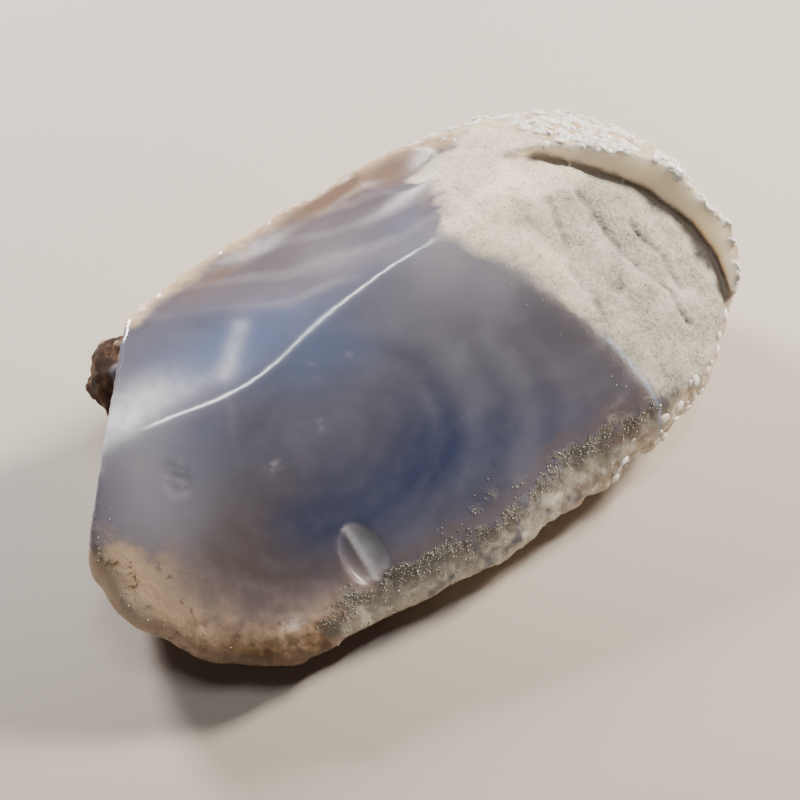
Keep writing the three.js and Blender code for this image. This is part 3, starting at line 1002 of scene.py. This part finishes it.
    def dull_and_arris_highlight(self, share: dict[Zone, Values], p: Points) -> tuple[Values, Values]:
        """Where the glass is dull, and the painted highlight line on the arris beside the chalk.

        Args:
            share: how much each zone owns of the points.
            p: points in millimetres.

        Returns:
            The dull breaks' strength and the painted arris highlight's.
        """
        dull = share[Zone.FLAKE] + 0.15 * share[Zone.SCALLOP] + 0.9 * share[Zone.NICK]
        dull = np.maximum(dull, 0.25 * hump(p, (-8.8, 3.8, 19.2), (5.0, 1.2, 3.0)))
        off_arris = self.shape.chalky.outside(p) - self.shape.glassy.outside(p)
        # Painted highlight: a thin pale-blue line of colour along the arris between the glass and the
        # chalk.
        hairline = 0.6 * np.exp(-((off_arris / 0.035) ** 2))
        return dull, hairline * ease(p[..., 0], 11.0, 12.0) * ease(-p[..., 1], 8.5, 10.0)

    def mark_scatter(
        self, mesh: bpy.types.Mesh, share: dict[Zone, Values], sugar: Values, chalk: Values, p: Points
    ) -> None:
        """Stores how thickly crystals, cobbles and frost grow on every corner.

        Args:
            mesh: the stone's mesh.
            share: how much each zone owns of its corners.
            sugar: the crystals' share.
            chalk: the chalk's share.
            p: the corners in millimetres.
        """
        x, y, z = p[..., 0], p[..., 1], p[..., 2]
        edge = ease(self.shape.glassy.outside(p), -1.6, -0.2)
        patches = ease(self.clouds.ragged.at(p * 0.6), -0.35, 0.25)
        rind = ease(x, 9.0, 14.0) * ease(z, 12.5, 16.0) * share[Zone.SKIN]
        right = ease(x, 6.0, 9.0) * ease(-y, 9.0, 12.0) * ease(z, 3.0, 5.0) * share[Zone.SKIN]
        growths = {
            "sugar_here": sugar * (0.12 + 0.88 * edge) * (0.35 + 0.65 * patches),
            "cobbles_here": rind * (0.25 + 0.75 * patches) + 0.18 * right,
            "frost_here": chalk * (0.35 + 0.65 * patches),
        }
        for name, value in growths.items():
            layer = mesh.attributes.new(name, "FLOAT", "POINT")
            layer.data.foreach_set("value", np.clip(value, 0, 1).astype(np.float32))


# Objects, nodes and finishes.


Colour = tuple[float, float, float]
Socket = bpy.types.NodeSocket
Feed = Socket | float | Colour


def add_object(name: str, data: bpy.types.ID) -> bpy.types.Object:
    """Puts a mesh, a light or a camera into the scene."""
    thing = bpy.data.objects.new(name, data)
    bpy.context.scene.collection.objects.link(thing)
    return thing


def add_node(
    tree: bpy.types.NodeTree, kind: str, inputs: dict[str | int, object], **settings: str
) -> bpy.types.Node:
    """Adds one node to a tree.

    Args:
        tree: the material's or the scatter's node tree.
        kind: the node's type.
        inputs: what each input is linked to or set to.
        settings: the node's own settings.

    Returns:
        The node.
    """
    node = tree.nodes.new(kind)
    for name, value in settings.items():
        setattr(node, name, value)
    for key, value in inputs.items():
        socket = node.inputs[key]
        if isinstance(value, bpy.types.NodeSocket):
            tree.links.new(value, socket)
        elif isinstance(value, tuple) and socket.type == "RGBA":
            socket.default_value = (*value, 1.0)
        else:
            socket.default_value = value
    return node


class Recipe:
    """A shader being written: every method adds a node and returns what comes out of it."""

    def __init__(self, name: str) -> None:
        """Starts an empty material with one output."""
        self.material = bpy.data.materials.new(name)
        self.material.use_nodes = True
        self.tree = self.material.node_tree
        self.tree.nodes.clear()
        self.output = self.tree.nodes.new("ShaderNodeOutputMaterial")
        place = self.add("ShaderNodeTexCoord", {}).outputs["Object"]
        scaled = {0: place, "Scale": 1 / MM}
        self.place = self.add("ShaderNodeVectorMath", scaled, operation="SCALE").outputs["Vector"]

    def add(self, kind: str, inputs: dict[str | int, Feed], **settings: str) -> bpy.types.Node:
        """Adds one node to the material."""
        return add_node(self.tree, kind, inputs, **settings)

    def dot(self, a: Feed, b: Feed) -> Socket:
        """How far one vector reaches along another."""
        return self.add("ShaderNodeVectorMath", {0: a, 1: b}, operation="DOT_PRODUCT").outputs["Value"]

    def maths(self, operation: str, a: Feed, b: Feed = 0.0) -> Socket:
        """Maths on two numbers."""
        return self.add("ShaderNodeMath", {0: a, 1: b}, operation=operation).outputs[0]

    def between(
        self, value: Feed, low: float, high: float, out_low: float = 0.0, out_high: float = 1.0
    ) -> Socket:
        """Smoothly takes a number from low to high to out_low to out_high."""
        ends = {"From Min": low, "From Max": high, "To Min": out_low, "To Max": out_high}
        inputs = {"Value": value, **ends}
        return self.add("ShaderNodeMapRange", inputs, interpolation_type="SMOOTHSTEP").outputs["Result"]

    def blend(self, share: Feed, a: Feed, b: Feed) -> Socket:
        """Colour that goes from a to b as share goes from 0 to 1."""
        return self.add("ShaderNodeMix", {0: share, 6: a, 7: b}, data_type="RGBA").outputs[2]

    def blend_number(self, share: Feed, a: Feed, b: Feed) -> Socket:
        """Number that goes from a to b as share goes from 0 to 1."""
        return self.add("ShaderNodeMix", {0: share, 2: a, 3: b}).outputs[0]

    def layered(self, colour: Feed, *layers: tuple[Socket, Feed]) -> Feed:
        """Colour with others laid over it in turn, each by its own share."""
        for share, over in layers:
            colour = self.blend(share, colour, over)
        return colour

    def noise(self, size: float, detail: float = 2.0, rough: float = 0.5) -> Socket:
        """Cloudy noise whose blobs are about `size` millimetres."""
        inputs = {"Vector": self.place, "Scale": 1 / size, "Detail": detail, "Roughness": rough}
        return self.add("ShaderNodeTexNoise", inputs).outputs["Fac"]

    def specks(self, size: float) -> Socket:
        """Distance from the nearest of many scattered specks, `size` millimetres apart."""
        inputs = {"Vector": self.place, "Scale": 1 / size}
        return self.add("ShaderNodeTexVoronoi", inputs).outputs["Distance"]

    def painted(self, name: str) -> list[Socket]:
        """The four strengths stored on the mesh under a name."""
        node = self.add("ShaderNodeAttribute", {}, attribute_name=name)
        split = self.add("ShaderNodeSeparateColor", {0: node.outputs["Color"]})
        return [*split.outputs[:3], node.outputs["Alpha"]]

    def bump(
        self, height: Feed, strength: float, distance: float, under: Socket | None = None
    ) -> Socket:
        """Bends the shading by a height in millimetres."""
        inputs = {"Strength": strength, "Distance": distance * MM, "Height": height}
        if under is not None:
            inputs["Normal"] = under
        return self.add("ShaderNodeBump", inputs).outputs["Normal"]

    def principled(self, **inputs: Feed) -> bpy.types.Node:
        """The surface's own shader, wired to the output; underscores in names stand for spaces."""
        spaced = {name.replace("_", " "): value for name, value in inputs.items()}
        node = self.add("ShaderNodeBsdfPrincipled", spaced)
        self.tree.links.new(node.outputs[0], self.output.inputs["Surface"])
        return node


@dataclass(frozen=True)
class StoneFinish:
    """Colours and gloss of the stone, from clear blue-grey glass to chalk and brown crust."""

    slate: Colour = (0.110, 0.106, 0.142)
    slate_light: Colour = (0.1375, 0.1325, 0.1775)
    blue: Colour = (0.135, 0.170, 0.290)
    deep: Colour = (0.046, 0.057, 0.120)
    haze: Colour = (0.29, 0.285, 0.345)
    # Milky white, used for milky glass and for painted reflections and highlights.
    milk_and_sheen: Colour = (0.78, 0.79, 0.84)
    warm: Colour = (0.130, 0.104, 0.101)
    brown: Colour = (0.19, 0.125, 0.095)
    rust: Colour = (0.180, 0.100, 0.048)
    rust_pale: Colour = (0.56, 0.41, 0.28)
    rust_dark: Colour = (0.13, 0.07, 0.04)
    blush: Colour = (0.30, 0.235, 0.225)
    cream: Colour = (0.72, 0.57, 0.40)
    chalk: Colour = (0.45, 0.425, 0.365)
    chalk_grey: Colour = (0.25, 0.235, 0.205)
    chalk_bright: Colour = (0.84, 0.74, 0.60)
    crust: Colour = (0.64, 0.53, 0.40)
    crust_dark: Colour = (0.44, 0.34, 0.24)
    crust_stain: Colour = (0.42, 0.27, 0.16)
    # The rind wall's own beige, lightened as painted light for the glow through the translucent rind.
    wall: Colour = (0.95, 0.85, 0.70)
    sugar: Colour = (0.185, 0.170, 0.150)
    sugar_light: Colour = (0.27, 0.25, 0.225)
    # Pale band below the crystals: its own translucent colour, lightened as painted light where the band
    # lies in shade.
    sugar_low: Colour = (0.60, 0.55, 0.46)
    seam: Colour = (0.40, 0.32, 0.235)
    # Colour of the painted highlight line along the arris beside the chalk.
    hairline: Colour = (0.42, 0.55, 0.80)
    matrix: Colour = (0.035, 0.016, 0.008)
    matrix_light: Colour = (0.12, 0.060, 0.030)
    grain_mm: float = 0.32

    def material(self) -> bpy.types.Material:
        """Writes the shader.

        Returns:
            The finished material.
        """
        r = Recipe("chalcedony glass and chalk")
        paint: dict[str, Socket] = {}
        for name, channels in PAINTS.items():
            paint |= zip(channels, r.painted(name))
        soft = r.noise(6.0, 3.0, 0.55)
        fine = r.noise(1.1, 4.0, 0.6)
        grain = r.noise(self.grain_mm, 3.0, 0.6)
        rusty = self.rusty(r, fine)
        chalky = self.ragged(r, paint["chalk"], fine)
        crystals = r.blend(r.between(grain, 0.40, 0.62), self.sugar, self.sugar_light)
        colour = r.layered(
            self.stained(r, paint, self.glass(r, paint, soft, fine), rusty, fine),
            (paint["skin"], self.crusted(r, paint, rusty, fine)),
            (paint["wall"], self.wall),
            (paint["sugar"], r.blend(paint["edge"], self.sugar_low, crystals)),
            (chalky, self.chalked(r, paint, fine, grain)),
            (paint["brown"], self.brown),
            (paint["seam"], self.seam),
            (paint["hairline"], self.hairline),
            (paint["lump"], r.blend(r.between(fine, 0.45, 0.65), self.matrix, self.matrix_light)),
        )
        clear = r.maths("MAXIMUM", paint["glass"], r.maths("MAXIMUM", paint["wall"], paint["sugar"]))
        r.principled(
            Base_Color=colour,
            Roughness=self.roughness(r, paint, chalky),
            IOR=1.54,
            Normal=self.bend(r, paint, fine, grain),
            Subsurface_Weight=r.blend_number(clear, 0.3, 0.8),
            Subsurface_Radius=r.blend(paint["wall"], (1.0, 0.8, 0.65), (2.6, 2.2, 1.8)),
            Subsurface_Scale=1.4 * MM,
        )
        return r.material

    def glass(self, r: Recipe, paint: dict[str, Socket], soft: Socket, fine: Socket) -> Feed:
        """Slate glass under its painted clouds, with faint bands that follow the skin."""
        rings = r.maths("ADD", r.maths("MULTIPLY", paint["depth"], 20.0), r.maths("MULTIPLY", soft, 5.0))
        bands = r.between(r.maths("SINE", r.maths("MULTIPLY", rings, 2.4)), -1.0, 1.0)
        return r.layered(
            r.blend(r.between(soft, 0.35, 0.7), self.slate, self.slate_light),
            (r.maths("MULTIPLY", paint["warm"], 0.9), self.warm),
            (paint["blue"], self.blue),
            (paint["haze"], self.haze),
            (r.maths("MULTIPLY", paint["deep"], 0.95), self.deep),
            (r.maths("MULTIPLY", bands, r.between(fine, 0.35, 0.65, 0.02, 0.07)), self.haze),
            (r.maths("MULTIPLY", paint["rings"], r.between(soft, 0.3, 0.7, 0.10, 0.28)), self.haze),
            (r.maths("MULTIPLY", paint["milk_and_sheen"], r.between(fine, 0.2, 0.75, 0.65, 1.0)), self.milk_and_sheen),
            (paint["marks"], self.haze),
        )

    def rusty(self, r: Recipe, fine: Socket) -> Socket:
        """Rust that is paler higher up the stone, with dark flecks."""
        level = r.dot(r.place, (0.0, 0.0, 1.0))
        pale = r.between(r.maths("ADD", level, r.maths("MULTIPLY", fine, 5.0)), 7.4, 11.4)
        flecks = r.between(r.noise(1.0, 4.0, 0.6), 0.60, 0.68, 0.0, 0.8)
        return r.blend(flecks, r.blend(pale, self.rust, self.rust_pale), self.rust_dark)

    def stained(
        self, r: Recipe, paint: dict[str, Socket], colour: Feed, rusty: Socket, fine: Socket
    ) -> Feed:
        """Glass that turns to rust through a blush, with a cream rim under the skin."""
        feather = r.maths("ADD", paint["rust"], r.maths("MULTIPLY", r.maths("SUBTRACT", fine, 0.5), 0.3))
        return r.layered(
            colour,
            (r.between(feather, 0.0, 0.50, 0.0, 0.60), self.blush),
            (r.between(feather, 0.32, 0.92), rusty),
            (paint["rim"], r.blend(r.between(fine, 0.40, 0.60), self.rust_pale, self.cream)),
        )

    def chalked(self, r: Recipe, paint: dict[str, Socket], fine: Socket, grain: Socket) -> Feed:
        """Mottled chalk, bleached beside the corner, with painted shade greying it along the creases."""
        return r.layered(
            r.blend(r.between(r.noise(3.0, 5.0, 0.65), 0.38, 0.60), self.chalk_grey, self.chalk),
            (r.maths("MULTIPLY", r.between(grain, 0.35, 0.65), 0.35), self.chalk_bright),
            (r.maths("MULTIPLY", paint["bright"], r.between(fine, 0.3, 0.6, 0.5, 1.0)), self.chalk_bright),
            # Painted shade: the chalk's colour greyed along the creases.
            (r.maths("MULTIPLY", paint["creased"], 0.8), self.chalk_grey),
        )

    def crusted(self, r: Recipe, paint: dict[str, Socket], rusty: Socket, fine: Socket) -> Feed:
        """Cream to tan skin with darker dimples, brown stains and rust at the low end."""
        return r.layered(
            r.blend(paint["cream"], self.crust, self.cream),
            (r.between(fine, 0.34, 0.54, 0.9, 0.0), self.crust_dark),
            (r.between(r.noise(7.0, 4.0, 0.6), 0.52, 0.66, 0.0, 0.6), self.crust_stain),
            (paint["rust"], rusty),
        )

    def roughness(self, r: Recipe, paint: dict[str, Socket], chalky: Socket) -> Socket:
        """Glossy glass, dull breaks, matt chalk and skin with glinting specks."""
        glint = r.maths("MULTIPLY", paint["skin"], r.between(r.specks(0.55), 0.0, 0.35, 1.0, 0.0))
        rough = r.blend_number(paint["glass"], 0.55, 0.12)
        layers = (
            (paint["wall"], 0.35),
            (paint["grainy"], 0.42),
            (chalky, 0.85),
            (glint, 0.2),
            (paint["lump"], 1.0),
        )
        for share, over in layers:
            rough = r.blend_number(share, rough, over)
        return rough

    def bend(self, r: Recipe, paint: dict[str, Socket], fine: Socket, grain: Socket) -> Socket:
        """Fine grain and coarser roughness everywhere but on the glass."""
        off_glass = r.maths("SUBTRACT", 1.0, paint["glass"])
        grained = r.bump(r.blend_number(paint["glass"], grain, 0.5), 0.55, 0.10)
        return r.bump(r.maths("MULTIPLY", fine, off_glass), 0.5, 0.30, grained)

    def ragged(self, r: Recipe, share: Socket, fine: Socket) -> Socket:
        """A zone's share with its edge eaten into by fine noise."""
        edge = r.maths("ADD", share, r.maths("MULTIPLY", r.maths("SUBTRACT", fine, 0.5), 0.35))
        return r.between(edge, 0.02, 0.95)


@dataclass(frozen=True)
class GrainFinish:
    """Small glossy grains: two colours clouded into each other."""

    name: str
    first: Colour
    second: Colour
    roughness: float
    subsurface: float

    def material(self) -> bpy.types.Material:
        """Writes the shader."""
        r = Recipe(self.name)
        r.principled(
            Base_Color=r.blend(r.between(r.noise(0.8), 0.38, 0.62), self.first, self.second),
            Roughness=self.roughness,
            IOR=1.54,
            Subsurface_Weight=self.subsurface,
            Subsurface_Radius=(1.0, 0.85, 0.7),
            Subsurface_Scale=0.3 * MM,
        )
        return r.material


# What grows on the stone.


class Habit(Enum):
    """The shape of one grain."""

    POINT = "six-sided crystal with a pointed end"
    PEBBLE = "flat rounded cobble"
    CRUMB = "blocky crumb"


@dataclass(frozen=True)
class Growth:
    """Grains scattered over the stone where a painted strength says so.

    Attributes:
        name: name of the piece.
        habit: shape of one grain.
        where: name of the strength stored on the stone.
        per_mm2: grains on a square millimetre of full strength.
        smallest: least size in millimetres.
        largest: greatest size in millimetres.
        lean: greatest lean from the surface's own upright, in degrees.
        seed: seed of the scatter.
        finish: material of the grains.
    """

    name: str
    habit: Habit
    where: str
    per_mm2: float
    smallest: float
    largest: float
    lean: float
    seed: int
    finish: GrainFinish

    def grain(self) -> bpy.types.Object:
        """One grain, about one unit across, standing on its own origin."""
        rings = {
            Habit.POINT: ((-0.25, 0.30), (0.35, 0.30), (0.72, 0.0)),
            Habit.PEBBLE: ((-0.12, 0.48), (0.04, 0.46), (0.12, 0.32), (0.15, 0.0)),
            Habit.CRUMB: ((-0.15, 0.34), (0.22, 0.36), (0.36, 0.16), (0.38, 0.0)),
        }[self.habit]
        sides = {Habit.POINT: 6, Habit.PEBBLE: 9, Habit.CRUMB: 5}[self.habit]
        corners: list[Place] = []
        for level, radius in rings[:-1]:
            for k in range(sides):
                turn = 2 * math.pi * k / sides
                wide = radius * (1 + 0.12 * math.sin(2 * turn + 0.6))
                corners.append((wide * math.cos(turn), wide * math.sin(turn), level))
        corners.append((0.0, 0.0, rings[-1][0]))
        faces: list[tuple[int, ...]] = [tuple(reversed(range(sides)))]
        for ring in range(len(rings) - 2):
            for k in range(sides):
                a, b = ring * sides + k, ring * sides + (k + 1) % sides
                faces.append((a, b, b + sides, a + sides))
        last = (len(rings) - 2) * sides
        faces += [(last + k, last + (k + 1) % sides, len(corners) - 1) for k in range(sides)]
        mesh = bpy.data.meshes.new(self.name + "_grain")
        mesh.from_pydata(corners, [], faces)
        if self.habit is Habit.PEBBLE:
            mesh.shade_smooth()
        return add_object(self.name + "_grain", mesh)

    def tree(self, material: bpy.types.Material) -> bpy.types.GeometryNodeTree:
        """The scatter: points on the painted skin, a turned and sized grain on each, made real.

        Args:
            material: what the grains are made of.

        Returns:
            The node tree, with inputs Grain, Density, Smallest, Largest, Lean and Seed.
        """
        tree = bpy.data.node_groups.new(self.name + " scatter", "GeometryNodeTree")
        face = tree.interface
        face.new_socket("Geometry", in_out="INPUT", socket_type="NodeSocketGeometry")
        face.new_socket("Grain", in_out="INPUT", socket_type="NodeSocketObject")
        for name in ("Density", "Smallest", "Largest", "Lean"):
            face.new_socket(name, in_out="INPUT", socket_type="NodeSocketFloat")
        face.new_socket("Seed", in_out="INPUT", socket_type="NodeSocketInt")
        face.new_socket("Geometry", in_out="OUTPUT", socket_type="NodeSocketGeometry")
        given, done = tree.nodes.new("NodeGroupInput"), tree.nodes.new("NodeGroupOutput")
        take = given.outputs
        where = add_node(
            tree, "GeometryNodeInputNamedAttribute", {"Name": self.where}, data_type="FLOAT"
        ).outputs["Attribute"]
        density = add_node(tree, "ShaderNodeMath", {0: where, 1: take["Density"]}, operation="MULTIPLY")
        points = add_node(
            tree,
            "GeometryNodeDistributePointsOnFaces",
            {"Mesh": take["Geometry"], "Density": density.outputs[0], "Seed": take["Seed"]},
        )
        spread = {2: take["Smallest"], 3: take["Largest"], "Seed": take["Seed"]}
        size = add_node(tree, "FunctionNodeRandomValue", spread, data_type="FLOAT")
        back = add_node(tree, "ShaderNodeMath", {0: take["Lean"], 1: -1.0}, operation="MULTIPLY").outputs[0]
        low = add_node(tree, "ShaderNodeCombineXYZ", {"X": back, "Y": back})
        lean_and_turn = {"X": take["Lean"], "Y": take["Lean"], "Z": 2 * math.pi}
        high = add_node(tree, "ShaderNodeCombineXYZ", lean_and_turn)
        turns = {0: low.outputs[0], 1: high.outputs[0]}
        turn = add_node(tree, "FunctionNodeRandomValue", turns, data_type="FLOAT_VECTOR")
        euler = add_node(tree, "FunctionNodeEulerToRotation", {0: turn.outputs[0]})
        upright = {0: points.outputs["Rotation"], 1: euler.outputs[0]}
        lean = add_node(tree, "FunctionNodeRotateRotation", upright, rotation_space="LOCAL")
        shape = add_node(tree, "GeometryNodeObjectInfo", {"Object": take["Grain"]})
        grains = {
            "Points": points.outputs["Points"],
            "Instance": shape.outputs["Geometry"],
            "Rotation": lean.outputs[0],
            "Scale": size.outputs[1],
        }
        put = add_node(tree, "GeometryNodeInstanceOnPoints", grains)
        real = add_node(tree, "GeometryNodeRealizeInstances", {0: put.outputs[0]})
        dressed = {"Geometry": real.outputs[0], "Material": material}
        dress = add_node(tree, "GeometryNodeSetMaterial", dressed)
        tree.links.new(dress.outputs[0], done.inputs[0])
        return tree

    def grow(self, stone: bpy.types.Object) -> bpy.types.Object:
        """Scatters the grains over the stone and keeps them as one plain piece.

        Args:
            stone: the dressed stone with its painted strengths.

        Returns:
            The grains' object.
        """
        tree = self.tree(self.finish.material())
        grain = self.grain()
        bed = add_object(self.name + "_bed", stone.data)
        scatter = bed.modifiers.new("scatter", "NODES")
        scatter.node_group = tree
        given = {
            "Grain": grain, "Density": self.per_mm2 / MM**2, "Smallest": self.smallest * MM,
            "Largest": self.largest * MM, "Lean": math.radians(self.lean), "Seed": self.seed,
        }
        for socket in tree.interface.items_tree:
            if socket.in_out == "INPUT" and socket.name in given:
                scatter[socket.identifier] = given[socket.name]
        ready = bed.evaluated_get(bpy.context.evaluated_depsgraph_get())
        mesh = bpy.data.meshes.new_from_object(ready)
        mesh.name = self.name
        bpy.data.objects.remove(bed)
        bpy.data.objects.remove(grain)
        return add_object(self.name, mesh)


GROWTHS = (
    Growth(
        "sugar_crystals", Habit.POINT, "sugar_here", 30.0, 0.08, 0.22, 40.0, 4,
        GrainFinish("clear sugar quartz", (0.25, 0.235, 0.21), (0.38, 0.365, 0.335), 0.30, 0.7),
    ),
    # The cobbles' near-white colour is partly their own cream and partly painted glints.
    Growth(
        "rind_cobbles", Habit.PEBBLE, "cobbles_here", 2.6, 0.22, 1.30, 14.0, 7,
        GrainFinish("glossy rind cobbles", (0.84, 0.78, 0.69), (0.95, 0.93, 0.88), 0.16, 0.5),
    ),
    Growth(
        "chalk_frost", Habit.CRUMB, "frost_here", 7.0, 0.06, 0.18, 40.0, 9,
        GrainFinish("chalk frost", (0.30, 0.275, 0.24), (0.78, 0.71, 0.60), 0.5, 0.3),
    ),
)


# The studio.


@dataclass(frozen=True)
class Lamp:
    """A soft oblong light that faces the stone.

    Attributes:
        name: name of the light.
        heading: where it stands, in degrees round from +X.
        height: how high it stands, in degrees above the floor.
        away: how far it stands, in metres.
        size: its two sides, in metres.
        power: its power in watts.
        colour: its colour.
    """

    name: str
    heading: float
    height: float
    away: float
    size: tuple[float, float]
    power: float
    colour: Colour

    def hang(self) -> None:
        """Puts the light into the scene."""
        data = bpy.data.lights.new(self.name, "AREA")
        data.color = self.colour
        data.shape = "RECTANGLE"
        data.size, data.size_y = self.size
        data.energy = self.power
        lamp = add_object(self.name, data)
        lamp.location = tuple(self.away * facing(self.heading, 90 - self.height))
        lamp.rotation_euler = (math.radians(90 - self.height), 0, math.radians(self.heading + 90))


@dataclass(frozen=True)
class Studio:
    """Pale floor, three soft lights and the photograph's view."""

    azimuth: float = -38.0
    elevation: float = 53.0
    lens: float = 60.0
    target: Place = (-3.5, -2.07, 11.35)
    distance: float = 109.0
    floor_size: float = 3.0
    floor_colour: Colour = (0.53, 0.475, 0.425)
    floor_near_shade: Colour = (0.37, 0.325, 0.265)
    sky: Colour = (0.90, 0.87, 0.84)
    sky_strength: float = 0.06
    lamps: tuple[Lamp, ...] = (
        Lamp("right light", -8.0, 42.0, 0.25, (0.05, 0.05), 1.30, (1.0, 0.91, 0.78)),
        Lamp("rear light", 96.0, 36.0, 0.25, (0.05, 0.05), 0.95, (1.0, 0.96, 0.95)),
        Lamp("top light", -82.0, 84.0, 0.42, (0.125, 0.03), 0.50, (1.0, 1.0, 1.0)),
    )

    def floor(self) -> bpy.types.Object:
        """A matt floor at the stone's foot, with painted shade that darkens it towards the camera."""
        half = 0.5 * self.floor_size
        corners = [(-half, -half, 0), (half, -half, 0), (half, half, 0), (-half, half, 0)]
        mesh = bpy.data.meshes.new("floor")
        mesh.from_pydata(corners, [], [(0, 1, 2, 3)])
        r = Recipe("pale floor")
        turn = math.radians(self.azimuth)
        nearer = r.dot(r.place, (math.sin(turn), -math.cos(turn), 0.0))
        # Painted shade: the floor's colour darkens towards the camera in place of the lamps' falloff.
        tone = r.blend(r.between(nearer, 5.0, 60.0), self.floor_colour, self.floor_near_shade)
        r.principled(Base_Color=tone, Roughness=0.95)
        mesh.materials.append(r.material)
        return add_object("floor", mesh)

    def lights(self) -> None:
        """Faint sky and three lamps: one at the right, one behind and one overhead."""
        world = bpy.data.worlds.new("studio")
        world.use_nodes = True
        background = world.node_tree.nodes["Background"]
        background.inputs["Color"].default_value = (*self.sky, 1.0)
        background.inputs["Strength"].default_value = self.sky_strength
        bpy.context.scene.world = world
        for lamp in self.lamps:
            lamp.hang()

    def camera(self, shift: Points) -> None:
        """The photograph's view of the stone.

        Args:
            shift: how far the stone's own millimetres are moved to stand in the frame.
        """
        data = bpy.data.cameras.new("camera")
        data.lens = self.lens
        data.sensor_width = 36.0
        data.clip_start = 0.001
        camera = add_object("camera", data)
        turn, rise = math.radians(self.azimuth), math.radians(self.elevation)
        flat = math.cos(rise)
        back = np.array([math.sin(turn) * flat, -math.cos(turn) * flat, math.sin(rise)])
        camera.location = tuple((np.array(self.target) + shift + self.distance * back) * MM)
        camera.rotation_euler = (math.pi / 2 - rise, 0, turn)
        bpy.context.scene.camera = camera


# Putting it together.


def main() -> None:
    """Builds the stone and its studio in order and reports each piece."""
    logging.basicConfig(level=logging.INFO, format="%(message)s")
    stone = Stone()
    body = stone.build()
    body.data.materials.append(StoneFinish().material())
    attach(body, BODY)
    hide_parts(NODE)
    LOG.info("%s: %d faces, shift %s", body.name, len(body.data.polygons), stone.shift.round(3))

    for growth in GROWTHS:
        grains = growth.grow(body)
        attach(grains, BODY)
        LOG.info("%s: %d faces", grains.name, len(grains.data.polygons))

    studio = Studio()
    studio.floor()
    studio.lights()
    studio.camera(stone.shift)


if __name__ == "__main__":
    main()
